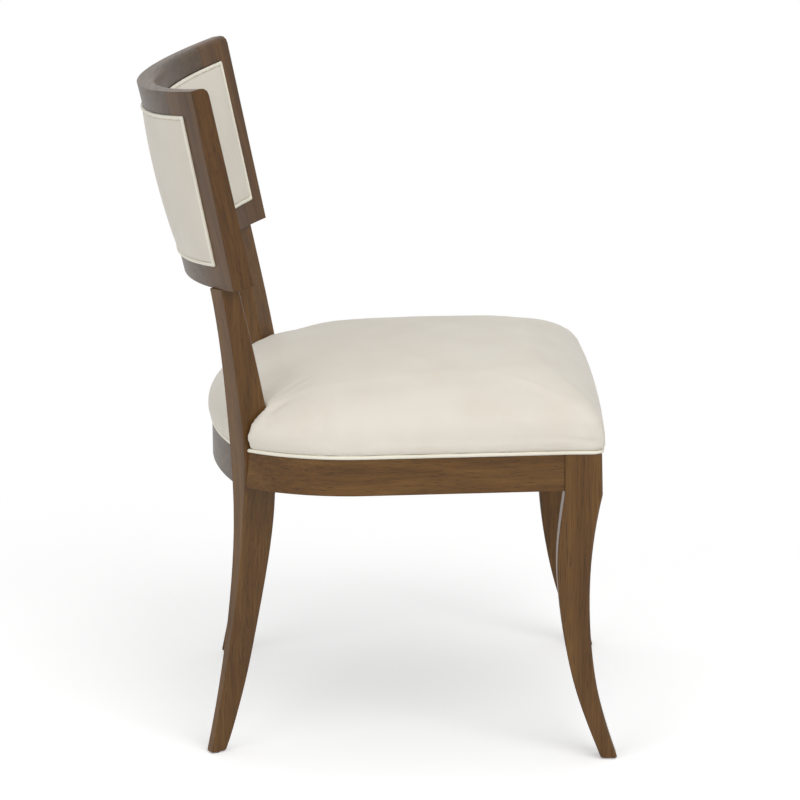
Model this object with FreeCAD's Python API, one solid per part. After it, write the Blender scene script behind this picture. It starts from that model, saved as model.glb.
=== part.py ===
import FreeCAD, Part
import math
import os

from FreeCAD import Vector, Matrix, Placement, Rotation

# A klismos dining chair: sabre front legs, rear legs that run up as raked posts,
# a horseshoe seat frame under a crowned cushion, and a curved, padded back.
# Millimetres. X is across the chair, the front faces -Y, Z is up, and the origin
# is on the floor under the middle of the chair. The sitter's left side is +X.

# Feet
glide_height = 1.2
glide_radius = 4.8
glide_sides = 12
glide_nail_radius = 1.2
glide_nail_length = 14.0

# Seat frame
rail_bottom = 363.5
rail_top = 411.5
rail_thickness = 24.0
rail_recess = 2.0
seat_front = -288.0
seat_front_bow = 6.0
seat_front_half_width = 252.5
seat_rear = 225.0
seat_widest_half = 273.0
seat_widest_y = 33.0
side_arc_radius = 231.0
rear_arc_radius = 560.0
seat_corner_radius = 13.0
seat_corner_run = 8.0
seat_hollow_radius = 3.0

# Front legs, as (share of the height of the rails' underside, front, back, inner side,
# outer side): every side is an offset from the leg's outer front corner under the seat
front_leg_depth = 48.0
front_leg_width = 36.0
front_leg_shape = [(0.0, -25.0, -3.5, -26.0, 2.5), (0.11, -11.6, 12.2, -27.3, 2.0),
                   (0.2475, 1.6, 29.6, -28.8, 1.4), (0.4125, 10.6, 44.0, -30.6, 0.9),
                   (0.5915, 14.0, 53.5, -32.4, 0.4), (0.7565, 11.7, 56.4, -34.0, 0.1),
                   (0.894, 5.2, 52.3, -35.3, 0.0), (0.985, -1.4, 48.0, -36.0, 0.0)]
front_leg_arris = 2.6
leg_arris = 1.5
foot_rounding = 2.4
leg_sections = 11

# Rear legs: each is cut from a plank that stands on edge and is turned to face the
# curve of the back. Every side is an offset from the plank's outer rear corner at seat
# height, as (share of the height, front, rear, inner side, outer side). The first table
# goes up to the rails' top, and the second from there to the head of the post.
post_turn = 34.0
post_out = 11.9
post_in = 2.1
rear_leg_shape = [(0.0, 17.5, 39.0, -44.0, -29.0), (0.1215, -2.0, 28.1, -42.1, -29.1),
                  (0.2675, -18.7, 17.0, -40.0, -26.6), (0.413, -30.2, 8.1, -38.3, -22.0),
                  (0.559, -40.3, 1.4, -36.9, -16.8), (0.705, -48.7, -2.6, -35.8, -12.3),
                  (0.8385, -50.4, -2.8, -35.1, -5.8), (0.972, -44.5, 0.0, -34.7, 1.4)]
post_shape = [(0.204, -35.5, 4.2, -34.8, 1.9), (0.462, -25.6, 9.0, -35.6, -1.4),
              (0.7435, -13.2, 16.0, -36.8, -5.0), (1.072, 3.0, 28.0, -39.5, -8.6)]
post_head_height = 624.7
post_proud = 2.5
post_sections = 16

# Back frame: a raked band of a cylinder
back_rake = 13.0
back_outer_radius = 480.0
back_thickness_bottom = 30.0
back_thickness_top = 24.0
back_height = 256.0
back_underside_slope = 3.5
back_overhang = 55.4
back_spare_angle = 14.0
back_spare_depth = 20.0
back_end_flare = 4.3
back_top_roundover = 11.0
roundover_chords = 3
stile_width = 72.0
crest_height = 56.0
lower_rail_height = 54.0

# Back upholstery: two padded panels on a curved core board, each with a welt
outer_pad_border = 34.6
inner_pad_border = 27.0
pad_top_border = 31.0
pad_bottom_border = 27.0
outer_pad_recess = 2.5
core_board_thickness = 18.5
outer_pad_rise = 1.5
outer_pad_crown = 4.5
inner_pad_rise = 3.5
inner_pad_crown = 12.0
pad_fullness = 1.08
pad_sections = 9
pad_chords = 6
back_welt_radius = 2.3
outer_welt_rise = 0.8
inner_welt_rise = 2.5

# Seat upholstery: the cushion's outline at each height over the rails, as
# (height, inset from the seat's outline)
seat_board_thickness = 12.0
seat_board_inset = 8.0
seat_board_corner = 6.0
board_notch_gap = 0.5
cushion_notch_gap = 1.0
cushion_levels = [(5.2, 0.5), (12.0, -2.5), (24.0, -4.5), (38.0, -2.5), (52.0, 4.0),
                  (65.0, 15.0), (76.0, 30.0), (85.0, 50.0), (94.0, 75.0), (112.0, 98.0)]
cushion_crown_height = 97.5
cushion_crown_radius = 2200.0
cushion_crown_y = -150.0
cushion_fall = 2.9
cushion_softening = 0.7
cushion_sections = 9
seat_welt_radius = 2.5
dust_cover_thickness = 0.8

# Joinery
dowel_radius = 4.5
dowel_length = 32.0
dowel_margin = 10.0
back_dowel_radius = 4.0
back_dowel_length = 44.0
back_dowel_spacing = 13.0
block_height = 32.0
front_block_reach = 80.0
rear_block_depth = 30.0
rear_block_face = 64.0
rear_block_back = 180.0
rear_block_tail = 20.0
front_screw_side = 26.0
front_screw_back = 8.0
rear_screw_side = 24.0
screw_radius = 2.2
screw_head_radius = 4.5
screw_head_height = 2.5
corner_screw_grip = 18.0
seat_screw_grip = 8.0
joint_sides = 6
welt_sides = 6
dowel_fit = 0.1
clearance = 0.2
beyond = 60.0


# Small helpers

def mirrored(shape):
    return shape.mirror(Vector(0, 0, 0), Vector(1, 0, 0))


def both_sides(shape):
    return Part.makeCompound([shape, mirrored(shape)])


def box(x0, x1, y0, y1, z0, z1):
    return Part.makeBox(x1 - x0, y1 - y0, z1 - z0, Vector(x0, y0, z0))


def lift(z):
    return Vector(0, 0, z)


def line(a, b):
    return Part.LineSegment(a, b).toShape()


def arc(a, b, c):
    return Part.Arc(a, b, c).toShape()


def solid_of(edges, direction):
    return Part.Face(Part.Wire(edges)).extrude(direction)


def closed(points):
    return Part.makePolygon(points + points[:1])


def with_arrises(corners, cuts):
    """A closed outline whose corners are taken off by their arrises."""
    points = []
    for index, corner in enumerate(corners):
        points.append(corner + (corners[index - 1] - corner).normalize() * cuts[index])
        points.append(corner + (corners[(index + 1) % 4] - corner).normalize() * cuts[index])
    return closed(points)


def loft(sections, ruled=False):
    return Part.makeLoft(sections, True, ruled, False, 3)


def prism(points, z0, z1):
    """An upright solid over a closed polygon in plan."""
    corners = [Vector(point.x, point.y, z0) for point in points]
    return Part.Face(closed(corners)).extrude(lift(z1 - z0))


def ring_points(radius, sides):
    steps = [2 * math.pi * (index + 0.5) / sides for index in range(sides)]
    return [Vector(radius * math.cos(step), radius * math.sin(step), 0) for step in steps]


def rod(start, direction, radius, length, sides=joint_sides):
    """A straight rod with a flat on each of its sides, as a fluted dowel has."""
    shape = Part.Face(closed(ring_points(radius, sides))).extrude(lift(length))
    shape.Placement = Placement(start, Rotation(Vector(0, 0, 1), direction))
    return shape


def dowel(middle, direction, radius, length):
    return rod(middle - Vector(direction).normalize() * (length / 2), direction, radius, length)


def dowel_hole(middle, direction, radius, length):
    return dowel(middle, direction, radius + dowel_fit, length + 2 * clearance)


def screw(seat, direction, length):
    """A pan-head screw whose head lies on the face at seat."""
    top = seat - Vector(direction).normalize() * screw_head_height
    return rod(seat, direction, screw_radius, length).fuse(
        rod(top, direction, screw_head_radius, screw_head_height))


def screw_hole(seat, direction, length):
    return rod(seat, direction, screw_radius + clearance, length + clearance)


def ends_of(edge):
    """Both ends of an edge, each with the direction that leads away from the edge."""
    first = edge.FirstParameter
    last = edge.LastParameter
    return [(edge.valueAt(first), edge.tangentAt(first) * -1), (edge.valueAt(last), edge.tangentAt(last))]


def past_mitre(spot, direction, size):
    """A block that takes off all that reaches past a mitre."""
    block = Part.makeBox(size, size, size, Vector(-size / 2, -size / 2, 0))
    block.Placement = Placement(spot, Rotation(Vector(0, 0, 1), direction))
    return block


def cord(edges, radius, across):
    """A welt along straight and round edges, mitred where they meet. The function across
    gives a direction across the welt at a point, to which its sides are lined up."""
    spare = 1.5 * radius
    body = None
    for edge in edges:
        (start, before), (end, after) = ends_of(edge)
        run = before * -1
        side = across(start) - run * run.dot(across(start))
        side = side.normalize()
        upright = run.cross(side)
        corners = [start + side * point.x + upright * point.y for point in ring_points(radius, welt_sides)]
        section = Part.Face(closed(corners))
        if edge.Curve.TypeId == "Part::GeomLine":
            piece = section.translated(before * spare).extrude(run * (edge.Length + 2 * spare))
        else:
            centre = edge.Curve.Center
            axis = edge.Curve.Axis
            extra = math.degrees(spare / edge.Curve.Radius)
            sweep = math.degrees(edge.LastParameter - edge.FirstParameter)
            piece = section.rotated(centre, axis, -extra).revolve(centre, axis, sweep + 2 * extra)
        for spot, away in ((start, before), (end, after)):
            for other, back in [found for near in edges for found in ends_of(near)]:
                if other.distanceToPoint(spot) < clearance and back.dot(away) < 0.9:
                    piece = piece.cut(past_mitre(spot, away - back, 4 * spare))
        body = piece if body is None else body.fuse(piece)
    return body


# Seat outline

def circle_crossing(centre_a, radius_a, centre_b, radius_b):
    """The crossing of two circles in plan that lies on the +X side."""
    gap = centre_b - centre_a
    reach = gap.Length
    along = (radius_a ** 2 - radius_b ** 2 + reach ** 2) / (2 * reach)
    across = math.sqrt(radius_a ** 2 - along ** 2)
    unit = gap * (1 / reach)
    side = Vector(-unit.y, unit.x, 0)
    first = centre_a + unit * along + side * across
    second = centre_a + unit * along - side * across
    return first if first.x > second.x else second


side_arc_centre = Vector(seat_widest_half - side_arc_radius, seat_widest_y, 0)
rear_arc_centre = Vector(0, seat_rear - rear_arc_radius, 0)
leg_back_y = seat_front + front_leg_depth


def seat_edges(inset, corner_radius, z):
    """The closed outline of the seat, moved in by inset, from the front left corner on."""
    side_radius = side_arc_radius - inset
    elbow_y = leg_back_y + max(0.0, inset + corner_radius + seat_corner_run - front_leg_depth)
    leg_back = Vector(seat_front_half_width - inset, elbow_y, 0)
    reach = side_arc_centre - leg_back
    splay = math.atan2(reach.x, reach.y) + math.asin(side_radius / reach.Length)
    tangent = side_arc_centre + Vector(math.cos(splay), -math.sin(splay), 0) * side_radius
    corner = circle_crossing(side_arc_centre, side_radius, rear_arc_centre, rear_arc_radius - inset)
    far_end = corner - side_arc_centre
    half_turn = (math.atan2(far_end.y, far_end.x) - splay) / 2
    bend = side_arc_centre + Vector(math.cos(half_turn), math.sin(half_turn), 0) * side_radius
    front_corner = Vector(seat_front_half_width - inset, seat_front + inset, 0)
    drop = seat_front_bow * (1 - (1 - corner_radius / seat_front_half_width) ** 2)
    chamfer = corner_radius * (1 - math.sqrt(0.5))
    near = front_corner + Vector(-corner_radius, -drop, 0)
    far = front_corner + Vector(0, corner_radius, 0)
    middle = front_corner + Vector(-chamfer, chamfer, 0)
    up = lift(z)
    half = [arc(near + up, middle + up, far + up), line(far + up, leg_back + up),
            line(leg_back + up, tangent + up), arc(tangent + up, bend + up, corner + up)]
    rear = arc(corner + up, Vector(0, seat_rear - inset, z), Vector(-corner.x, corner.y, z))
    front = arc(Vector(-near.x, near.y, z), Vector(0, seat_front - seat_front_bow + inset, z),
                near + up)
    return half + [rear] + [mirrored(edge) for edge in reversed(half)] + [front]


def seat_slab(inset, corner_radius, z0, z1):
    return solid_of(seat_edges(inset, corner_radius, z0), lift(z1 - z0))


# Legs: lofts through level sections, each (height, low a, high a, low b, high b)

turn = math.radians(post_turn)
radial = Vector(math.sin(turn), math.cos(turn), 0)
tangential = Vector(math.cos(turn), -math.sin(turn), 0)
seat_corner = circle_crossing(side_arc_centre, side_arc_radius, rear_arc_centre, rear_arc_radius)
post_corner = seat_corner + tangential * post_out - radial * post_in


def on_plank(r, t, z):
    """A point by its offsets from the left plank's outer rear corner."""
    return post_corner + radial * r + tangential * t + lift(z)


def on_front_leg(a, b, z):
    """A point by its offsets from the left front leg's outer front corner."""
    return Vector(seat_front_half_width + b, seat_front + a, z)


def levels_of(shape, low, high):
    return [(low + (high - low) * share,) + tuple(sides) for share, *sides in shape]


def sides_through(levels):
    """The sides of a leg as two curves by height: front with back, and inner with outer."""
    curves = []
    for low, high in ((1, 2), (3, 4)):
        curve = Part.BSplineCurve()
        curve.interpolate(Points=[Vector(level[low], level[high], 0) for level in levels],
                          Parameters=[level[0] for level in levels])
        curves.append(curve)
    return curves


def level_at(curves, height):
    depth, width = [curve.value(height) for curve in curves]
    return height, depth.x, depth.y, width.x, width.y


def level_rows(curves, low, high, count):
    return [level_at(curves, low + (high - low) * index / (count - 1)) for index in range(count)]


def corners_of(level, place, grow, reach=0.0):
    z, a0, a1, b0, b1 = level
    a1 = a1 + reach
    return [place(a0 - grow, b1 + grow, z), place(a1 + grow, b1 + grow, z),
            place(a1 + grow, b0 - grow, z), place(a0 - grow, b0 - grow, z)]


front_leg_levels = levels_of(front_leg_shape, 0, rail_bottom)
front_leg_sides = sides_through(front_leg_levels)
front_leg_shoulder = front_leg_levels[-1][0]
post_levels = levels_of(rear_leg_shape, 0, rail_top) + levels_of(post_shape, rail_top, post_head_height)
post_sides = sides_through(post_levels)
post_end = post_levels[-1][0]


def leg_loft(curves, end, count, place, cuts):
    """A leg with eased arrises, from its rounded foot to its end."""
    toe = glide_height + foot_rounding
    sections = []
    for rise, inset in ((0.0, 1.0), (0.3, 0.35), (1.0, 0.0)):
        level = level_at(curves, glide_height + rise * foot_rounding)
        sections.append(with_arrises(corners_of(level, place, -foot_rounding * inset), cuts))
    rows = level_rows(curves, toe, end, count)
    shin = loft([with_arrises(corners_of(row, place, 0), cuts) for row in rows])
    return loft(sections, True).fuse(shin)


def post_cutter(grow):
    """The left rear leg with sharp edges, grown, and extended far to the rear."""
    rows = level_rows(post_sides, glide_height, post_end, post_sections)
    return loft([closed(corners_of(row, on_plank, grow, beyond)) for row in rows])


# Back frame, in the frame of its own cylinder: the axis is Z and the rear is +Y

rake = math.radians(back_rake)
back_axis = Vector(0, math.sin(rake), math.cos(rake))
back_rear = Vector(0, math.cos(rake), -math.sin(rake))
head = level_at(post_sides, post_head_height)
head_rear = on_plank(head[2], (head[3] + head[4]) / 2, post_head_height)
head_depth = math.sqrt((back_outer_radius + post_proud) ** 2 - head_rear.x ** 2)
underside_fall = math.tan(math.radians(back_underside_slope))
back_origin = (Vector(0, head_rear.y, head_rear.z) - back_rear * head_depth
               - back_axis * (head_depth - back_outer_radius) * underside_fall)
back_place = Placement(back_origin, Rotation(Vector(1, 0, 0), -back_rake))
end_angle = math.asin(head_rear.x / (back_outer_radius + post_proud)) + back_overhang / back_outer_radius
end_flare = math.radians(back_end_flare)
end_out = Vector(math.cos(end_angle), -math.sin(end_angle), 0)
back_swing = math.degrees(end_angle) + back_spare_angle


def set_back(shape):
    return shape.transformed(back_place.toMatrix())


def on_band(radius, angle, height):
    return Vector(radius * math.sin(angle), radius * math.cos(angle), height)


def ring_of(profile):
    """A closed profile of (radius, height), turned round the back's axis."""
    points = [Vector(0, radius, height) for radius, height in profile]
    face = Part.Face(closed(points))
    start = face.rotated(Vector(0, 0, 0), Vector(0, 0, 1), -back_swing)
    return start.revolve(Vector(0, 0, 0), Vector(0, 0, 1), 2 * back_swing)


def beyond_end(inset):
    """All that lies beyond the band's +X end plane, moved in by inset."""
    normal = end_out * math.cos(end_flare) - lift(math.sin(end_flare))
    upright = end_out * math.sin(end_flare) + lift(math.cos(end_flare))
    across = normal.cross(upright)
    reach = back_outer_radius
    corner = (on_band(reach, end_angle, back_height / 2) - normal * inset
              - upright * reach - across * reach)
    matrix = Matrix(normal.x, upright.x, across.x, corner.x,
                    normal.y, upright.y, across.y, corner.y,
                    normal.z, upright.z, across.z, corner.z,
                    0, 0, 0, 1)
    return Part.makeBox(reach, 2 * reach, 2 * reach).transformed(matrix)


def trimmed(shape, inset):
    region = beyond_end(inset)
    return shape.cut(region).cut(mirrored(region))


def end_shift(height, inset):
    """How far the end plane, moved in by inset, lies beyond its angle at one height."""
    return (height - back_height / 2) * math.tan(end_flare) - inset / math.cos(end_flare)


def end_angle_at(height, inset, radius):
    return end_angle + math.asin(end_shift(height, inset) / radius)


def inner_radius(height):
    taper = (back_thickness_bottom - back_thickness_top) / back_height
    return back_outer_radius - back_thickness_bottom + taper * height


def back_underside(up, down):
    """A wide slab about the plane of the back frame's underside."""
    reach = 2 * back_outer_radius
    slab = Part.makeBox(2 * reach, 2 * reach, up + down, Vector(-reach, -reach, -down))
    slab.rotate(Vector(0, 0, 0), Vector(1, 0, 0), back_underside_slope)
    return slab.translated(lift(-back_outer_radius * underside_fall))


low_reach = -back_spare_depth
outer_floor = back_outer_radius - outer_pad_recess
inner_floor = outer_floor - core_board_thickness
pad_low = pad_bottom_border
pad_high = back_height - pad_top_border
opening_low = lower_rail_height
opening_high = back_height - crest_height


def band():
    """The whole back frame as one raked band, with the pockets for its pads."""
    profile = [(inner_radius(low_reach), low_reach), (back_outer_radius, low_reach),
               (back_outer_radius, back_height)]
    for chord in range(roundover_chords + 1):
        swing = math.pi / 2 * chord / roundover_chords
        profile.append((inner_radius(back_height) + back_top_roundover * (1 - math.sin(swing)),
                        back_height - back_top_roundover * (1 - math.cos(swing))))
    blank = trimmed(ring_of(profile).cut(back_underside(0, beyond)), 0)
    outer = ring_of([(outer_floor, pad_low), (outer_floor + beyond, pad_low),
                     (outer_floor + beyond, pad_high), (outer_floor, pad_high)])
    inner = ring_of([(inner_floor, pad_low), (inner_floor - beyond, pad_low),
                     (inner_floor - beyond, pad_high), (inner_floor, pad_high)])
    return blank.cut(trimmed(outer, outer_pad_border)).cut(trimmed(inner, inner_pad_border))


def slice_of(shape, low, high):
    """The part of the band between its stiles and between two heights."""
    near = back_outer_radius - beyond
    far = back_outer_radius + beyond
    ring = ring_of([(near, low), (far, low), (far, high), (near, high)])
    return shape.common(trimmed(ring, stile_width))


def core_board():
    low = opening_low + clearance
    high = opening_high - clearance
    ring = ring_of([(inner_floor, low), (outer_floor, low), (outer_floor, high), (inner_floor, high)])
    return trimmed(ring, stile_width + clearance)


def pad(base, edge_low, edge_high, crown, border):
    """A padded panel: crowned sections from end to end of the band."""
    margin = 2 * back_welt_radius + 2 * clearance
    low = pad_low + margin
    high = pad_high - margin
    sections = []
    for index in range(pad_sections):
        share = 2 * index / (pad_sections - 1) - 1
        across = Vector(math.cos(share * end_angle), -math.sin(share * end_angle), 0)
        swell = crown * (pad_fullness - abs(share) ** 3)

        def spot(radius, height):
            shift = share * end_shift(height, border + margin)
            reach = math.sqrt(radius ** 2 - shift ** 2)
            return on_band(reach, share * end_angle, height) + across * shift

        front = []
        back = []
        for chord in range(pad_chords + 1):
            rise = chord / pad_chords
            level = low + (high - low) * rise
            edge = edge_low + (edge_high - edge_low) * rise
            front.append(spot(edge + 4 * swell * rise * (1 - rise), level))
            back.append(spot(base, level))
        sections.append(closed(front + back[::-1]))
    return loft(sections)


def back_welt(radius_low, radius_high, border):
    """The welt round a back pad: two arcs and two straight ends."""
    inset = back_welt_radius + clearance
    low = pad_low + inset
    high = pad_high - inset
    angle_low = end_angle_at(low, border + inset, radius_low)
    angle_high = end_angle_at(high, border + inset, radius_high)
    a = on_band(radius_low, -angle_low, low)
    b = on_band(radius_low, angle_low, low)
    c = on_band(radius_high, angle_high, high)
    d = on_band(radius_high, -angle_high, high)
    edges = [arc(a, on_band(radius_low, 0, low), b), line(b, c),
             arc(c, on_band(radius_high, 0, high), d), line(d, a)]
    return cord(edges, back_welt_radius, lambda spot: Vector(spot.x, spot.y, 0))


# Back: frame members, core board, pads and welts

parts = {}
whole_band = band()
parts["back_stile_left"] = set_back(whole_band.common(beyond_end(stile_width)))
parts["crest_rail"] = set_back(slice_of(whole_band, opening_high, back_height + beyond))
parts["lower_back_rail"] = set_back(slice_of(whole_band, low_reach, opening_low))
parts["back_core_board"] = set_back(core_board())
outer_edge = back_outer_radius + outer_pad_rise
parts["outer_back_pad"] = set_back(pad(outer_floor + clearance, outer_edge, outer_edge,
                                       outer_pad_crown, outer_pad_border))
parts["inner_back_pad"] = set_back(pad(inner_floor - clearance,
                                       inner_radius(pad_low) - inner_pad_rise,
                                       inner_radius(pad_high) - inner_pad_rise,
                                       -inner_pad_crown, inner_pad_border))
outer_welt_line = back_outer_radius + outer_welt_rise
parts["outer_back_welt"] = set_back(back_welt(outer_welt_line, outer_welt_line, outer_pad_border))
parts["inner_back_welt"] = set_back(back_welt(inner_radius(pad_low) - inner_welt_rise,
                                              inner_radius(pad_high) - inner_welt_rise,
                                              inner_pad_border))

# Legs: the posts end under the back frame, and every foot stands on its glide

rear_leg = leg_loft(post_sides, post_end, post_sections, on_plank, [leg_arris] * 4)
rear_leg = rear_leg.cut(set_back(back_underside(back_height, 0)))
front_cuts = [front_leg_arris, leg_arris, leg_arris, leg_arris]
front_leg = leg_loft(front_leg_sides, front_leg_shoulder, leg_sections, on_front_leg, front_cuts)
leg_top = (rail_top, 0, front_leg_depth, -front_leg_width, 0)
block = [with_arrises(corners_of(level, on_front_leg, 0), front_cuts)
         for level in (level_at(front_leg_sides, front_leg_shoulder), leg_top)]
front_leg = front_leg.fuse(loft(block, True))

# Seat frame: one ring, parted by the legs into four rails

ring = seat_slab(rail_recess, seat_corner_radius, rail_bottom, rail_top)
rail_inset = rail_recess + rail_thickness
ring = ring.cut(seat_slab(rail_inset, seat_hollow_radius, rail_bottom - 1, rail_top + 1))
leg_inner_x = seat_front_half_width - front_leg_width
outside_x = seat_front_half_width + beyond
outside_y = seat_front - beyond
leg_block = box(leg_inner_x, outside_x, outside_y, leg_back_y, rail_bottom - 1, rail_top + 1)
ring = ring.cut(both_sides(leg_block)).cut(both_sides(post_cutter(0)))
for piece in ring.Solids:
    spot = piece.CenterOfMass
    if abs(spot.x) < seat_front_half_width / 2:
        name = "front_seat_rail" if spot.y < 0 else "rear_seat_rail"
        parts[name] = piece
    elif spot.x > 0:
        parts["side_seat_rail_left"] = piece

# Seat upholstery: board, cushion, welts and the dust cover below

board_top = rail_top + seat_board_thickness
board = seat_slab(seat_board_inset, seat_board_corner, rail_top, board_top)
board = board.cut(both_sides(post_cutter(board_notch_gap)))
profile = Part.BSplineCurve()
profile.interpolate([Vector(height, inset, 0) for height, inset in cushion_levels])
sections = []
for spot in profile.discretize(cushion_sections):
    height = spot.x
    inset = spot.y
    outline = Part.Wire(seat_edges(inset, seat_corner_radius + max(inset, 0) * cushion_softening, 0))
    outline.rotate(Vector(0, seat_front, 0), Vector(1, 0, 0),
                   -cushion_fall * (height - cushion_levels[0][0]) / cushion_crown_height)
    sections.append(outline.translated(lift(rail_top + height)))
cushion = loft(sections, True)
crown_centre = Vector(0, cushion_crown_y, rail_top + cushion_crown_height - cushion_crown_radius)
cushion = cushion.common(Part.makeSphere(cushion_crown_radius, crown_centre, Vector(1, 0, 0)))
cushion = cushion.cut(seat_slab(seat_board_inset - clearance, seat_board_corner, rail_top,
                                board_top + clearance))
parts["seat_cushion"] = cushion.cut(both_sides(post_cutter(cushion_notch_gap)))

welt_edges = seat_edges(seat_welt_radius, seat_corner_radius - seat_welt_radius,
                        rail_top + seat_welt_radius + clearance)
welt = cord(welt_edges, seat_welt_radius, lambda spot: lift(1)).cut(both_sides(post_cutter(clearance)))
for piece in welt.Solids:
    name = "seat_front_welt" if piece.CenterOfMass.y < 0 else "seat_rear_welt"
    parts[name] = piece

cover_z = rail_top - dust_cover_thickness
cover = seat_slab(rail_inset + clearance, seat_hollow_radius, cover_z, rail_top)
grown_leg = box(leg_inner_x - clearance, outside_x, outside_y, leg_back_y + clearance, 0, rail_top + 1)
grown_post = post_cutter(clearance)
parts["dust_cover"] = cover.cut(both_sides(grown_leg)).cut(both_sides(grown_post))

# Corner blocks, screwed to the legs and up into the seat board

block_bottom = cover_z - block_height
hollow = seat_slab(rail_inset + clearance, seat_hollow_radius, block_bottom, cover_z)
front_x = seat_front_half_width - rail_inset
front_y = seat_front + rail_inset
front_block = prism([Vector(front_x + beyond, front_y - beyond, 0),
                     Vector(front_x + beyond, front_y + beyond + front_block_reach, 0),
                     Vector(front_x - beyond - front_block_reach, front_y - beyond, 0)],
                    block_bottom, cover_z).common(hollow).cut(grown_leg)
post_at_rail = level_at(post_sides, (rail_bottom + rail_top) / 2)
face_r = post_at_rail[1] - rear_block_depth
middle_t = (post_at_rail[3] + post_at_rail[4]) / 2
rear_block = prism([on_plank(face_r, middle_t - rear_block_face / 2, 0),
                    on_plank(face_r, middle_t + rear_block_face / 2, 0),
                    on_plank(rear_block_tail, middle_t + rear_block_back / 2, 0),
                    on_plank(rear_block_tail, middle_t - rear_block_back / 2, 0)],
                   block_bottom, cover_z).common(hollow).cut(grown_post)

screw_level = (block_bottom + cover_z) / 2
diagonal = Vector(1, -1, 0).normalize()
leg_corner = Vector(leg_inner_x, leg_back_y, screw_level)
face_gap = (front_block_reach - (front_x - leg_inner_x) - (leg_back_y - front_y)) / math.sqrt(2)
front_seat = leg_corner - diagonal * face_gap
rear_seat = on_plank(face_r, middle_t, screw_level)
front_length = face_gap + corner_screw_grip
rear_length = rear_block_depth + corner_screw_grip
seat_length = block_height + dust_cover_thickness + seat_screw_grip
front_up = Vector(leg_inner_x - front_screw_side, leg_back_y - front_screw_back, block_bottom)
rear_up = on_plank(face_r + rear_block_depth / 2, middle_t - rear_screw_side, block_bottom)

corner_screws = [screw(front_seat, diagonal, front_length), screw(rear_seat, radial, rear_length)]
seat_screws = [screw(front_up, lift(1), seat_length), screw(rear_up, lift(1), seat_length)]
front_hole = screw_hole(front_seat, diagonal, front_length)
rear_hole = screw_hole(rear_seat, radial, rear_length)
up_holes = [screw_hole(front_up, lift(1), seat_length), screw_hole(rear_up, lift(1), seat_length)]
parts["corner_block_front_left"] = front_block.cut(front_hole).cut(up_holes[0])
parts["corner_block_rear_left"] = rear_block.cut(rear_hole).cut(up_holes[1])
for hole in up_holes:
    board = board.cut(both_sides(hole))
    parts["dust_cover"] = parts["dust_cover"].cut(both_sides(hole))
parts["seat_board"] = board
front_leg = front_leg.cut(front_hole)
rear_leg = rear_leg.cut(rear_hole)

# Dowels: rails to legs, posts to stiles, and rails of the back to stiles

dowel_levels = [rail_bottom + dowel_margin, rail_top - dowel_margin]
rail_middle = rail_recess + rail_thickness / 2
front_rail_y = seat_front + rail_middle - seat_front_bow * (1 - (leg_inner_x / seat_front_half_width) ** 2)
front_spots = [(Vector(leg_inner_x, front_rail_y, 0), Vector(1, 0, 0), "front_seat_rail"),
               (Vector(seat_front_half_width - rail_middle, leg_back_y, 0), Vector(0, 1, 0),
                "side_seat_rail_left")]


def rail_joint(centre, radius, t):
    """Where a rail's middle line meets the plane of one side of the post."""
    start = on_plank(0, t, 0) - centre
    along = -start.dot(radial)
    reach = math.sqrt(along ** 2 - start.Length ** 2 + radius ** 2)
    spot = centre + start + radial * (along + reach)
    run = Vector(centre.y - spot.y, spot.x - centre.x, 0).normalize()
    return spot, run if run.dot(tangential) > 0 else run * -1


rear_spots = []
for centre, radius, t, name in ((side_arc_centre, side_arc_radius, post_at_rail[4],
                                 "side_seat_rail_left"),
                                (rear_arc_centre, rear_arc_radius, post_at_rail[3],
                                 "rear_seat_rail")):
    spot, run = rail_joint(centre, radius - rail_middle, t)
    rear_spots.append((spot, run + tangential, name))

dowels = {"front_leg_dowels": [], "rear_leg_dowels": [], "back_post_dowels": [],
          "back_frame_dowels": []}
for group, spots in (("front_leg_dowels", front_spots), ("rear_leg_dowels", rear_spots)):
    for spot, run, name in spots:
        for level in dowel_levels:
            middle = spot + lift(level)
            dowels[group].append(dowel(middle, run, dowel_radius, dowel_length))
            hole = dowel_hole(middle, run, dowel_radius, dowel_length)
            parts[name] = parts[name].cut(hole)
            if name in ("front_seat_rail", "rear_seat_rail"):
                parts[name] = parts[name].cut(mirrored(hole))
            if group == "front_leg_dowels":
                front_leg = front_leg.cut(hole)
            else:
                rear_leg = rear_leg.cut(hole)

post_top = max(rear_leg.Faces, key=lambda face: face.CenterOfMass.z).CenterOfMass
for side in (-0.5, 0.5):
    middle = post_top + tangential * (side * back_dowel_spacing)
    dowels["back_post_dowels"].append(dowel(middle, back_axis, back_dowel_radius, back_dowel_length))
    hole = dowel_hole(middle, back_axis, back_dowel_radius, back_dowel_length)
    rear_leg = rear_leg.cut(hole)
    parts["back_stile_left"] = parts["back_stile_left"].cut(hole)

board_middle = (outer_floor + inner_floor) / 2
for height, name in ((opening_low - back_dowel_spacing * 1.6, "lower_back_rail"),
                     (opening_low - back_dowel_spacing * 0.5, "lower_back_rail"),
                     (opening_high + back_dowel_spacing, "crest_rail"),
                     (opening_high + back_dowel_spacing * 2.7, "crest_rail")):
    angle = end_angle_at(height, stile_width, board_middle)
    middle = on_band(board_middle, angle, height)
    run = Vector(math.cos(angle), -math.sin(angle), 0)
    dowels["back_frame_dowels"].append(set_back(dowel(middle, run, back_dowel_radius,
                                                      back_dowel_length)))
    hole = set_back(dowel_hole(middle, run, back_dowel_radius, back_dowel_length))
    parts[name] = parts[name].cut(both_sides(hole))
    parts["back_stile_left"] = parts["back_stile_left"].cut(hole)

# Glides: a disc under each foot, held by its nail

glides = []


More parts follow.
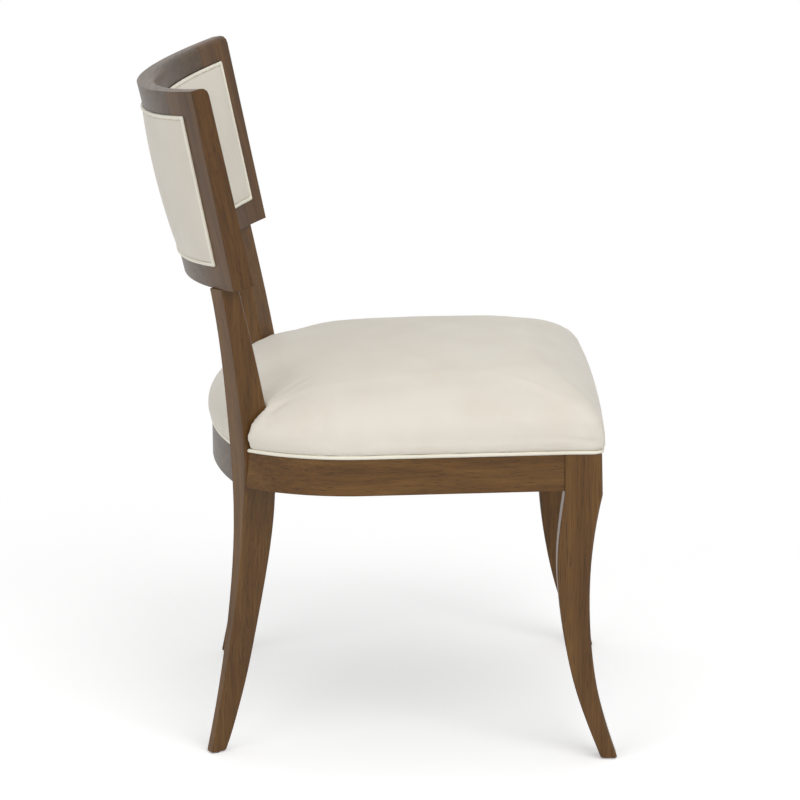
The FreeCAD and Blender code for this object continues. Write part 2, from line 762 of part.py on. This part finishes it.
def with_glide(leg):
    """Sets a glide under the leg's foot and returns the leg with its nail hole."""
    foot = min(leg.Faces, key=lambda face: face.CenterOfMass.z).CenterOfMass
    disc = rod(Vector(foot.x, foot.y, 0), lift(1), glide_radius, glide_height, glide_sides)
    glides.append(disc.fuse(rod(foot, lift(1), glide_nail_radius, glide_nail_length)))
    return leg.cut(rod(foot, lift(1), glide_nail_radius + clearance, glide_nail_length + clearance))


parts["front_leg_left"] = with_glide(front_leg)
parts["rear_leg_left"] = with_glide(rear_leg)
for name in ("back_stile", "side_seat_rail", "corner_block_front", "corner_block_rear",
             "front_leg", "rear_leg"):
    parts[name + "_right"] = mirrored(parts[name + "_left"])
dowels["corner_screws"] = corner_screws
dowels["seat_screws"] = seat_screws
dowels["foot_glides"] = glides
for name, pieces in dowels.items():
    parts[name] = Part.makeCompound(pieces + [mirrored(piece) for piece in pieces])

os.makedirs("parts", exist_ok=True)
for name, shape in parts.items():
    shape.exportStep("parts/" + name + ".step")
    print(name, len(shape.Solids), "solids", round(shape.Volume / 1000, 1), "cm3", shape.isValid())
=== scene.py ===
# %% [markdown]
# # A klismos dining chair
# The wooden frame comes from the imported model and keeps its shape. This scene gives it
# its lacquered walnut, and makes the upholstery: a crowned seat cushion, two padded
# panels in the back, and the welts (piping) that run round them.

import math

import bpy
import bmesh
from mathutils import Matrix, Vector
from mathutils.bvhtree import BVHTree


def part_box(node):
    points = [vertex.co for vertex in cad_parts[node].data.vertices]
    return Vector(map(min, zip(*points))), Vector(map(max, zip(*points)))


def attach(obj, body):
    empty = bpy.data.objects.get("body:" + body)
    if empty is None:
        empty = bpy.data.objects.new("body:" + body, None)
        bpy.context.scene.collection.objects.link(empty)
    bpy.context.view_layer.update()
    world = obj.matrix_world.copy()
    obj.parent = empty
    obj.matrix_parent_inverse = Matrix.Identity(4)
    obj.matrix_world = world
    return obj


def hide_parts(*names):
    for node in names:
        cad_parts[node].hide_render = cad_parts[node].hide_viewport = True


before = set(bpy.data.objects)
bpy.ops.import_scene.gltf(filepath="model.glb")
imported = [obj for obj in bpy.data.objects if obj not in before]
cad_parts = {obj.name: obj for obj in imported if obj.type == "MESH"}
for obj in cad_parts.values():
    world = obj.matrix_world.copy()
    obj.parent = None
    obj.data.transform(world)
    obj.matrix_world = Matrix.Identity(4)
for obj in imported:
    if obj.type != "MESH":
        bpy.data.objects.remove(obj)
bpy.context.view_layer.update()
scene = bpy.context.scene
mm = 0.001

# %% [markdown]
# ## The camera
# The photograph shows the chair from its right side, from a little above, through a long
# lens. The numbers below are a real camera: where it stands, where it points, how far it
# leans, and its focal length on a 36 mm sensor.

# %% Camera
camera_place = Vector((-4.209, 0.0035, 1.4328))
camera_yaw = math.radians(-0.471)
camera_pitch = math.radians(13.464)
camera_roll = math.radians(-0.211)
camera_lens = 143.6

forward = Vector((math.cos(camera_pitch) * math.cos(camera_yaw),
                  math.cos(camera_pitch) * math.sin(camera_yaw),
                  -math.sin(camera_pitch)))
level_right = forward.cross(Vector((0, 0, 1))).normalized()
level_up = level_right.cross(forward)
right = level_right * math.cos(camera_roll) + level_up * math.sin(camera_roll)
up = level_up * math.cos(camera_roll) - level_right * math.sin(camera_roll)

camera = bpy.data.objects.new("camera", bpy.data.cameras.new("camera"))
scene.collection.objects.link(camera)
camera.data.sensor_width = 36
camera.data.lens = camera_lens
camera.data.clip_end = 100
camera.matrix_world = Matrix.Translation(camera_place) @ Matrix((right, up, -forward)).transposed().to_4x4()
scene.camera = camera
scene.view_settings.view_transform = "Standard"
print("camera at", camera_place[:], "lens", camera_lens)

# %% [markdown]
# ## Colours and nodes
# Colours are written as on a screen, in sRGB hex, and one function turns them into the
# linear values that a shader wants. One small function adds a node, sets its values and
# links its inputs, so that each material below reads as a short list.

# %% Helpers for materials
def linear(code):
    """An sRGB hex colour as linear RGBA."""
    values = [int(code[i:i + 2], 16) / 255 for i in (1, 3, 5)]
    return [v / 12.92 if v <= 0.04045 else ((v + 0.055) / 1.055) ** 2.4 for v in values] + [1.0]


def add(tree, kind, settings=None, values=None, links=None):
    """Adds a node. settings are its properties, values go to its inputs, and links join
    its inputs to (node, output) pairs."""
    node = tree.nodes.new(kind)
    for key, value in (settings or {}).items():
        setattr(node, key, value)
    for key, value in (values or {}).items():
        node.inputs[key].default_value = value
    for key, (source, output) in (links or {}).items():
        tree.links.new(source.outputs[output], node.inputs[key])
    return node


def ramp(tree, source, output, stops):
    """A colour ramp through (position, sRGB hex) stops."""
    node = add(tree, "ShaderNodeValToRGB", links={"Fac": (source, output)})
    elements = node.color_ramp.elements
    while len(elements) < len(stops):
        elements.new(0.5)
    for element, (position, code) in zip(elements, stops):
        element.position = position
        element.color = linear(code)
    return node


def new_material(name):
    """A material with an empty tree, its Principled shader and its output."""
    material = bpy.data.materials.new(name)
    material.use_nodes = True
    tree = material.node_tree
    tree.nodes.clear()
    shader = add(tree, "ShaderNodeBsdfPrincipled")
    add(tree, "ShaderNodeOutputMaterial", links={"Surface": (shader, "BSDF")})
    return material, tree, shader

# %% [markdown]
# ## Walnut under satin lacquer
# The frame is walnut, stained mid brown and sprayed with a satin lacquer. Three things
# show: broad bands of lighter and darker heartwood (about 9 mm apart), finer streaks in
# them, and open pores, which are dark dashes along the grain. Real pores are about
# 0.2 mm wide, too fine to show here, so they are drawn 0.7 mm wide. The grain runs along
# each member, so the pattern is stretched along one axis, and a tilt turns it with the
# raked back. Lacquer has an IOR of about 1.5, and satin is a roughness of about 0.35.
# A bevel in the shader softens the sharp edges, as sanding does.

# %% Walnut
figure_spacing = 9 * mm
streak_spacing = 2.2 * mm
pore_spacing = 0.7 * mm
grain_stretch = 22.0


def walnut(name, turn, tones, tint=0.0):
    """Walnut whose grain lies along Z after it is turned by the angles given."""
    material, tree, shader = new_material(name)
    place = add(tree, "ShaderNodeTexCoord")
    turned = add(tree, "ShaderNodeMapping", {"vector_type": "TEXTURE"}, {"Rotation": turn},
                 {"Vector": (place, "Object")})
    squeezed = add(tree, "ShaderNodeMapping", {}, {"Scale": (1, 1, 1 / grain_stretch), "Location": (tint, 0, tint)},
                   {"Vector": (turned, "Vector")})
    warp = add(tree, "ShaderNodeTexNoise", {}, {"Scale": 9.0, "Detail": 2.0}, {"Vector": (squeezed, "Vector")})
    swayed = add(tree, "ShaderNodeVectorMath", {"operation": "MULTIPLY_ADD"},
                 {1: (0.012, 0.012, 0.0)}, {0: (warp, "Color"), 2: (squeezed, "Vector")})
    figure = add(tree, "ShaderNodeTexNoise", {}, {"Scale": 0.5 / figure_spacing, "Detail": 3.0, "Roughness": 0.6},
                 {"Vector": (swayed, "Vector")})
    streak = add(tree, "ShaderNodeTexNoise", {}, {"Scale": 0.5 / streak_spacing, "Detail": 3.0, "Roughness": 0.65},
                 {"Vector": (swayed, "Vector")})
    pores = add(tree, "ShaderNodeTexNoise", {}, {"Scale": 0.5 / pore_spacing, "Detail": 1.0},
                {"Vector": (squeezed, "Vector")})
    bands = ramp(tree, figure, "Fac", list(zip((0.30, 0.48, 0.68), tones)))
    fine = ramp(tree, streak, "Fac", [(0.28, "#7c7c7c"), (0.55, "#cacaca"), (0.75, "#f2f2f2")])
    dashes = ramp(tree, pores, "Fac", [(0.30, "#4a4a4a"), (0.42, "#ffffff")])
    streaked = add(tree, "ShaderNodeMix", {"data_type": "RGBA", "blend_type": "MULTIPLY"}, {"Factor": 0.55},
                   {"A": (bands, "Color"), "B": (fine, "Color")})
    pored = add(tree, "ShaderNodeMix", {"data_type": "RGBA", "blend_type": "MULTIPLY"}, {"Factor": 0.4},
                {"A": (streaked, "Result"), "B": (dashes, "Color")})
    sheen = add(tree, "ShaderNodeMapRange", {}, {"To Min": 0.42, "To Max": 0.33}, {"Value": (streak, "Fac")})
    edge = add(tree, "ShaderNodeBevel", {"samples": 4}, {"Radius": 1.6 * mm})
    relief = add(tree, "ShaderNodeBump", {}, {"Strength": 0.25, "Distance": 0.1 * mm},
                 {"Height": (dashes, "Color"), "Normal": (edge, "Normal")})
    tree.links.new(pored.outputs["Result"], shader.inputs["Base Color"])
    tree.links.new(sheen.outputs["Result"], shader.inputs["Roughness"])
    tree.links.new(relief.outputs["Normal"], shader.inputs["Normal"])
    shader.inputs["IOR"].default_value = 1.5
    shader.inputs["Specular IOR Level"].default_value = 0.32
    return material


quarter = math.pi / 2
back_rake = math.radians(-13)
leg_tones = ("#62411a", "#6d4a20", "#7a5629")
# The stiles get a darker copy of the same walnut; this darkness is painted shade.
stile_shaded_tones = ("#563714", "#61401a", "#6d4a21")
# The crest, the lower back rail and the front and rear seat rails get a darker, greyer copy of the same walnut: painted
# shade for faces turned away from the light.
bent_shaded_tones = ("#4a3520", "#563f25", "#614a2d")
walnut_upright = walnut("walnut_grain_upright", (0, 0, 0), leg_tones)
walnut_raked_shaded = walnut("walnut_grain_raked_painted_shade", (back_rake, 0, 0), stile_shaded_tones, 0.3)
walnut_across_shaded = walnut("walnut_grain_across_painted_shade", (0, quarter, 0), bent_shaded_tones, 0.6)
walnut_along = walnut("walnut_grain_along", (quarter, 0, 0), leg_tones, 0.9)

# %% [markdown]
# ## Ivory upholstery
# The cover is a smooth, tightly woven ivory cloth with a soft finish. Its threads are
# about 0.4 mm apart, far under a pixel, so they are drawn at 0.9 mm and very low, which
# only breaks up the highlight. A slow noise gives the slight unevenness of a stretched
# cover. Cloth is rough, and a little sheen lifts it at grazing angles.

# %% Upholstery
thread_spacing = 0.9 * mm


def cover_cloth(name, light, shade, roughness):
    material, tree, shader = new_material(name)
    place = add(tree, "ShaderNodeTexCoord")
    slow = add(tree, "ShaderNodeTexNoise", {}, {"Scale": 14.0, "Detail": 3.0}, {"Vector": (place, "Object")})
    tone = ramp(tree, slow, "Fac", [(0.3, shade), (0.7, light)])
    threads = []
    for axis in ("X", "Y", "Z"):
        threads.append(add(tree, "ShaderNodeTexWave", {"wave_type": "BANDS", "bands_direction": axis},
                           {"Scale": 0.05 / thread_spacing, "Distortion": 0.4, "Detail": 1.0},
                           {"Vector": (place, "Object")}))
    pair = add(tree, "ShaderNodeMath", {"operation": "ADD"}, {}, {0: (threads[0], "Fac"), 1: (threads[1], "Fac")})
    weave = add(tree, "ShaderNodeMath", {"operation": "ADD"}, {}, {0: (pair, "Value"), 1: (threads[2], "Fac")})
    grain = add(tree, "ShaderNodeTexNoise", {}, {"Scale": 0.5 / thread_spacing, "Detail": 2.0},
                {"Vector": (place, "Object")})
    height = add(tree, "ShaderNodeMath", {"operation": "MULTIPLY"}, {},
                 {0: (weave, "Value"), 1: (grain, "Fac")})
    relief = add(tree, "ShaderNodeBump", {}, {"Strength": 0.12, "Distance": 0.1 * mm}, {"Height": (height, "Value")})
    tree.links.new(tone.outputs["Color"], shader.inputs["Base Color"])
    tree.links.new(relief.outputs["Normal"], shader.inputs["Normal"])
    shader.inputs["Roughness"].default_value = roughness
    shader.inputs["IOR"].default_value = 1.46
    shader.inputs["Sheen Weight"].default_value = 0.15
    shader.inputs["Sheen Roughness"].default_value = 0.4
    return material


ivory_cover = cover_cloth("ivory_cover_cloth", "#ded8cc", "#d8d1c4", 0.62)
# The welts are the same cloth as the cover, drawn lighter: painted light on the round cords.
welt_painted_lighter = cover_cloth("welt_cloth_painted_lighter", "#ece8d9", "#e6e1d1", 0.55)

# %% [markdown]
# ## Plain materials under the seat
# What no one sees from a step away still has its own finish: black cambric over the
# opening, plywood boards, glue blocks of light softwood, beech dowels, zinc-plated
# screws and nylon glides.

# %% Hidden finishes
def plain(name, dark, light, size, roughness, metallic=0.0, stretch=(1, 1, 1), bump=0.2):
    """A finish with a fine pattern of one size, stretched where it has a grain."""
    material, tree, shader = new_material(name)
    place = add(tree, "ShaderNodeTexCoord")
    sized = add(tree, "ShaderNodeMapping", {}, {"Scale": stretch}, {"Vector": (place, "Object")})
    pattern = add(tree, "ShaderNodeTexNoise", {}, {"Scale": 0.5 / size, "Detail": 4.0}, {"Vector": (sized, "Vector")})
    tone = ramp(tree, pattern, "Fac", [(0.3, dark), (0.7, light)])
    relief = add(tree, "ShaderNodeBump", {}, {"Strength": bump, "Distance": 0.1 * mm}, {"Height": (pattern, "Fac")})
    tree.links.new(tone.outputs["Color"], shader.inputs["Base Color"])
    tree.links.new(relief.outputs["Normal"], shader.inputs["Normal"])
    shader.inputs["Roughness"].default_value = roughness
    shader.inputs["Metallic"].default_value = metallic
    return material


cambric = plain("black_cambric", "#0e0e0e", "#1c1c1d", 0.6 * mm, 0.9)
plywood = plain("birch_plywood", "#b89468", "#d2b184", 3 * mm, 0.6, stretch=(1, 0.06, 1))
softwood = plain("glue_block_wood", "#b08a58", "#cba672", 2 * mm, 0.65, stretch=(1, 1, 0.06))
beech = plain("beech", "#b98e62", "#cda477", 1 * mm, 0.55, stretch=(0.1, 1, 1))
zinc = plain("zinc_plate", "#b4b5b2", "#c9cac6", 0.8 * mm, 0.35, metallic=1.0, bump=0.05)
nylon = plain("moulded_nylon", "#2b241f", "#352d27", 1.5 * mm, 0.5, bump=0.05)

# %% [markdown]
# ## Dressing the frame
# A node of the frame keeps its mesh. It gets its material, and three modifiers for its
# shading only: its faces are welded, split again where they meet at a real edge, and
# their normals are weighted by area, so flat faces look flat and curved ones smooth.

# %% Materials on the wooden frame
edge_angle = math.radians(38)
finishes = {
    walnut_upright: ["front_leg_left", "front_leg_right", "rear_leg_left", "rear_leg_right"],
    walnut_raked_shaded: ["back_stile_left", "back_stile_right"],
    walnut_across_shaded: ["crest_rail", "lower_back_rail", "front_seat_rail", "rear_seat_rail"],
    walnut_along: ["side_seat_rail_left", "side_seat_rail_right"],
    plywood: ["seat_board", "back_core_board"],
    cambric: ["dust_cover"],
    softwood: ["corner_block_front_left", "corner_block_front_right",
               "corner_block_rear_left", "corner_block_rear_right"],
    beech: ["front_leg_dowels", "rear_leg_dowels", "back_post_dowels", "back_frame_dowels"],
    zinc: ["corner_screws", "seat_screws"],
    nylon: ["foot_glides"],
}


def smooth_faces(piece):
    piece.data.polygons.foreach_set("use_smooth", [True] * len(piece.data.polygons))
    piece.data.update()


for finish, names in finishes.items():
    for name in names:
        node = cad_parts[name]
        node.data.materials.clear()
        node.data.materials.append(finish)
        smooth_faces(node)
        weld = node.modifiers.new("weld", "WELD")
        weld.merge_threshold = 0.01 * mm
        split = node.modifiers.new("split", "EDGE_SPLIT")
        split.split_angle = edge_angle
        node.modifiers.new("weighted", "WEIGHTED_NORMAL").keep_sharp = True
print("dressed", sum(len(names) for names in finishes.values()), "nodes")

# %% [markdown]
# ## Padded pieces
# Each pad starts as a copy of its solid, so it sits exactly in its place. A voxel remesh
# turns it into even quads, a few rounds of smoothing take off the hard edges, and a cloth
# simulation with pressure inside then fills it, as foam fills its cover. Points near the
# wood are pinned, and no point may move further than a few millimetres.

# %% Padding tools
def copy_of(node, name):
    """A new object with a welded copy of a node's mesh."""
    mesh = bpy.data.meshes.new(name)
    shape = bmesh.new()
    shape.from_mesh(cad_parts[node].data)
    bmesh.ops.remove_doubles(shape, verts=shape.verts, dist=0.01 * mm)
    shape.to_mesh(mesh)
    shape.free()
    piece = bpy.data.objects.new(name, mesh)
    scene.collection.objects.link(piece)
    return piece


def bake_modifiers(piece):
    """Turns the piece's modifiers into its mesh."""
    shown = piece.evaluated_get(bpy.context.evaluated_depsgraph_get())
    mesh = bpy.data.meshes.new_from_object(shown)
    piece.modifiers.clear()
    piece.data = mesh
    mesh.name = piece.name


def remeshed(piece, voxel, rounds, swell):
    """Even quads of one size, smoothed and then grown along their normals."""
    remesh = piece.modifiers.new("remesh", "REMESH")
    remesh.mode = "VOXEL"
    remesh.voxel_size = voxel
    smooth = piece.modifiers.new("smooth", "SMOOTH")
    smooth.iterations = rounds
    grow = piece.modifiers.new("grow", "DISPLACE")
    grow.strength = swell
    grow.mid_level = 0.0
    bake_modifiers(piece)


def tree_of(*nodes):
    """A search tree over the faces of some nodes."""
    points, faces = [], []
    for name in nodes:
        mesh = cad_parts[name].data
        base = len(points)
        points += [v.co.copy() for v in mesh.vertices]
        faces += [[base + i for i in p.vertices] for p in mesh.polygons]
    return BVHTree.FromPolygons(points, faces)


def hold_to_solid(piece, node, held, proud):
    """Puts the held points back on the solid's surface, a little proud of it."""
    surface = tree_of(node)
    for vertex in piece.data.vertices:
        if held(vertex.co):
            spot, normal, _, _ = surface.find_nearest(vertex.co)
            vertex.co = spot + normal * proud


def keep_clear(piece, tree, gap):
    """Moves points that are in the wood, or nearly, out to a small gap from it."""
    for vertex in piece.data.vertices:
        spot, normal, _, distance = tree.find_nearest(vertex.co)
        inside = (vertex.co - spot).dot(normal) < 0
        if distance < gap or (inside and distance < 6 * mm):
            vertex.co = spot + normal * gap


def inflate(piece, held, pressure, cap):
    """Fills the piece by cloth simulation. held says which points stay where they are."""
    rest = [v.co.copy() for v in piece.data.vertices]
    pins = piece.vertex_groups.new(name="pins")
    pins.add([i for i, point in enumerate(rest) if held(point)], 1.0, "REPLACE")
    cloth = piece.modifiers.new("cloth", "CLOTH")
    cloth.settings.use_pressure = True
    cloth.settings.uniform_pressure_force = pressure
    cloth.settings.effector_weights.gravity = 0
    cloth.settings.vertex_group_mass = "pins"
    cloth.settings.quality = 4
    cloth.collision_settings.use_collision = False
    cloth.point_cache.frame_end = 20
    for number in range(1, 21):
        scene.frame_set(number)
    bake_modifiers(piece)
    scene.frame_set(1)
    piece.vertex_groups.clear()
    largest = 0.0
    for vertex, start in zip(piece.data.vertices, rest):
        move = vertex.co - start
        if move.length > cap:
            move = move.normalized() * cap
        largest = max(largest, move.length)
        vertex.co = start + move
    print(piece.name, "filled, moved at most", round(largest / mm, 2), "mm")


def soften(piece, rounds):
    smooth = piece.modifiers.new("smooth", "SMOOTH")
    smooth.iterations = rounds
    bake_modifiers(piece)


def finish_soft(piece, material, node):
    """Its material, smooth shading, a place under the root body, and its solid hidden."""
    piece.data.materials.clear()
    piece.data.materials.append(material)
    smooth_faces(piece)
    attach(piece, "root")
    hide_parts(node)
    print(piece.name, len(piece.data.polygons), "faces")

# %% [markdown]
# ## The seat cushion
# The cushion is a foam block under a boxed cover: it bulges over the rails, comes in
# again above them and ends in a low crown. It is notched round the two posts, and its
# bottom edge is held all round by the welt. At each front corner the cover is closed by
# a short upright seam, which is drawn in a little.

# %% Seat cushion
cushion_low, cushion_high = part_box("seat_cushion")
post_tree = tree_of("rear_leg_left", "rear_leg_right")
front_overhang = 3 * mm
front_run = 55 * mm


def push_front(piece):
    """The stuffed front hangs a little over the legs, and takes the welt with it."""
    for vertex in piece.data.vertices:
        share = min(max((cushion_low.y + front_run - vertex.co.y) / front_run, 0), 1)
        vertex.co.y -= front_overhang * share * share * (3 - 2 * share)


cushion = copy_of("seat_cushion", "seat_cushion_cover")
remeshed(cushion, 4.5 * mm, 6, 0.4 * mm)


def held_by_frame(point):
    """Points at the cushion's bottom edge or beside a post."""
    return point.z < cushion_low.z + 9 * mm or post_tree.find_nearest(point)[3] < 7 * mm


inflate(cushion, held_by_frame, 4.0, 4 * mm)
soften(cushion, 3)
hold_to_solid(cushion, "seat_cushion", lambda point: point.z < cushion_low.z + 6 * mm, 0.6 * mm)
fine = cushion.modifiers.new("fine", "SUBSURF")
fine.levels = fine.render_levels = 1
bake_modifiers(cushion)
keep_clear(cushion, post_tree, 0.7 * mm)
push_front(cushion)
finish_soft(cushion, ivory_cover, "seat_cushion")

# %% [markdown]
# ## The padded back
# Both faces of the back carry a panel that is stretched over thin foam. They are firm,
# so they move little when filled. Their edges run under the welts.

# %% Back panels
wood_tree = tree_of("back_stile_left", "back_stile_right", "crest_rail", "lower_back_rail",
                    "back_core_board")


def held_by_border(point):
    return wood_tree.find_nearest(point)[3] < 6 * mm


for node, name, cap in (("outer_back_pad", "outer_back_panel", 1.5 * mm),
                        ("inner_back_pad", "inner_back_panel", 4.5 * mm)):
    panel = copy_of(node, name)
    remeshed(panel, 2.4 * mm, 4, 0.6 * mm)
    inflate(panel, held_by_border, 6.0, cap)
    soften(panel, 2)
    hold_to_solid(panel, node, held_by_border, 0.5 * mm)
    finish_soft(panel, ivory_cover, node)

# %% [markdown]
# ## The welts
# A welt is a cord in a sleeve of the cover cloth, about 5 mm thick. Each one starts from
# its solid, whose sides are flat and whose corners are mitred. A fine remesh and some
# smoothing make it round and let it turn its corners as a soft cord does.

# %% Welts
welt_nodes = ["seat_front_welt", "seat_rear_welt", "outer_back_welt", "inner_back_welt"]
for node in welt_nodes:
    welt = copy_of(node, node + "_cord")
    remeshed(welt, 0.9 * mm, 8, 0.5 * mm)
    if node == "seat_front_welt":
        push_front(welt)
    finish_soft(welt, welt_painted_lighter, node)

# %% [markdown]
# ## The corner seams
# The cover is boxed: at each front corner its top and side meet in a short upright seam.
# The seam is a folded edge of cloth, so a thin cord that lies half in the cushion shows
# it, with the fine shadow that such a fold has on both sides.

# %% Corner seams
seam_angle = math.radians(34)
seam_rise = (4 * mm, 32 * mm)
seam_radius = 1.3 * mm
seam_points = 12
corner_x = cushion_high.x - 45 * mm
corner_y = cushion_low.y + 35 * mm
cover = BVHTree.FromPolygons([v.co.copy() for v in cushion.data.vertices],
                             [list(p.vertices) for p in cushion.data.polygons])
for side, label in ((-1, "right"), (1, "left")):
    outward = Vector((side * math.sin(seam_angle), -math.cos(seam_angle), 0))
    trail = []
    for step in range(seam_points):
        height = cushion_low.z + seam_rise[0] + (seam_rise[1] - seam_rise[0]) * step / (seam_points - 1)
        start = Vector((side * corner_x, corner_y, height)) + outward * 0.2
        hit = cover.ray_cast(start, -outward)[0]
        if hit:
            trail.append(hit - outward * 0.2 * seam_radius)
    curve = bpy.data.curves.new("corner_seam_" + label, "CURVE")
    curve.dimensions = "3D"
    curve.bevel_depth = seam_radius
    curve.bevel_resolution = 3
    curve.use_fill_caps = True
    line = curve.splines.new("POLY")
    line.points.add(len(trail) - 1)
    for point, spot in zip(line.points, trail):
        point.co = (*spot, 1)
    cord = bpy.data.objects.new("corner_seam_" + label, curve)
    scene.collection.objects.link(cord)
    mesh = bpy.data.meshes.new_from_object(cord.evaluated_get(bpy.context.evaluated_depsgraph_get()))
    bpy.data.objects.remove(cord)
    seam = bpy.data.objects.new("corner_seam_" + label, mesh)
    scene.collection.objects.link(seam)
    seam.data.materials.clear()
    seam.data.materials.append(ivory_cover)
    smooth_faces(seam)
    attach(seam, "root")
    print(seam.name, len(trail), "points")

# %% [markdown]
# ## The studio
# The photograph was taken in a white studio with soft light from all round, a little
# stronger from above. The world is white to the camera and in reflections, and gives a
# plain ambient light. The floor is white too, catches the shadow under the feet, and
# fades into the background further out.

# %% Floor
floor_size = 14.0
shadow_reach = 1.3
bpy.ops.mesh.primitive_plane_add(size=floor_size, location=(0, 0, 0))
floor = bpy.context.object
floor.name = "studio_floor"
paint = bpy.data.materials.new("white_studio_floor")
paint.use_nodes = True
tree = paint.node_tree
tree.nodes.clear()
path = add(tree, "ShaderNodeLightPath")
place = add(tree, "ShaderNodeTexCoord")
away = add(tree, "ShaderNodeVectorMath", {"operation": "LENGTH"}, {}, {0: (place, "Object")})
fade = add(tree, "ShaderNodeMapRange", {"interpolation_type": "SMOOTHSTEP"},
           {"From Min": 0.5 * shadow_reach, "From Max": shadow_reach}, {"Value": (away, "Value")})
seen = add(tree, "ShaderNodeMath", {"operation": "MAXIMUM"}, {},
           {0: (path, "Is Camera Ray"), 1: (path, "Is Glossy Ray")})
clear = add(tree, "ShaderNodeMath", {"operation": "MAXIMUM"}, {},
            {0: (seen, "Value"), 1: (path, "Is Transmission Ray")})
blank = add(tree, "ShaderNodeMath", {"operation": "MULTIPLY"}, {}, {0: (clear, "Value"), 1: (fade, "Result")})
matt = add(tree, "ShaderNodeBsdfDiffuse", {}, {"Color": linear("#f2f2f2")})
lift = add(tree, "ShaderNodeEmission", {}, {"Color": (1, 1, 1, 1)}, {})
lift_share = add(tree, "ShaderNodeMath", {"operation": "MULTIPLY"}, {1: 0.34}, {0: (clear, "Value")})
tree.links.new(lift_share.outputs["Value"], lift.inputs["Strength"])
lit = add(tree, "ShaderNodeAddShader", {}, {}, {0: (matt, "BSDF"), 1: (lift, "Emission")})
white = add(tree, "ShaderNodeEmission", {}, {"Color": (1, 1, 1, 1), "Strength": 1.0})
mix = add(tree, "ShaderNodeMixShader", {}, {}, {0: (blank, "Value"), 1: (lit, "Shader"), 2: (white, "Emission")})
add(tree, "ShaderNodeOutputMaterial", {}, {}, {"Surface": (mix, "Shader")})
floor.data.materials.append(paint)

# %% World and lamps
ambient_strength = 0.5
world = bpy.data.worlds.new("white_studio")
scene.world = world
world.use_nodes = True
tree = world.node_tree
tree.nodes.clear()
path = add(tree, "ShaderNodeLightPath")
seen = add(tree, "ShaderNodeMath", {"operation": "MAXIMUM"}, {},
           {0: (path, "Is Camera Ray"), 1: (path, "Is Glossy Ray")})
clear = add(tree, "ShaderNodeMath", {"operation": "MAXIMUM"}, {},
            {0: (seen, "Value"), 1: (path, "Is Transmission Ray")})
strength = add(tree, "ShaderNodeMapRange", {}, {"To Min": ambient_strength, "To Max": 1.0}, {"Value": (clear, "Value")})
sky = add(tree, "ShaderNodeBackground", {}, {"Color": (1, 1, 1, 1)}, {"Strength": (strength, "Result")})
add(tree, "ShaderNodeOutputWorld", {}, {}, {"Surface": (sky, "Background")})


def softbox(name, place, target, size, power):
    lamp = bpy.data.lights.new(name, "AREA")
    lamp.shape = "SQUARE"
    lamp.size = size
    lamp.energy = power
    box = bpy.data.objects.new(name, lamp)
    scene.collection.objects.link(box)
    box.location = place
    box.rotation_euler = (Vector(target) - Vector(place)).to_track_quat("-Z", "Y").to_euler()


middle = (0, 0, 0.45)
softbox("key_softbox", (-2.2, -1.2, 2.7), middle, 2.2, 42)
softbox("fill_softbox", (-2.6, 2.2, 1.9), middle, 2.4, 31)
softbox("top_softbox", (0.6, 0.3, 3.4), middle, 2.4, 12)
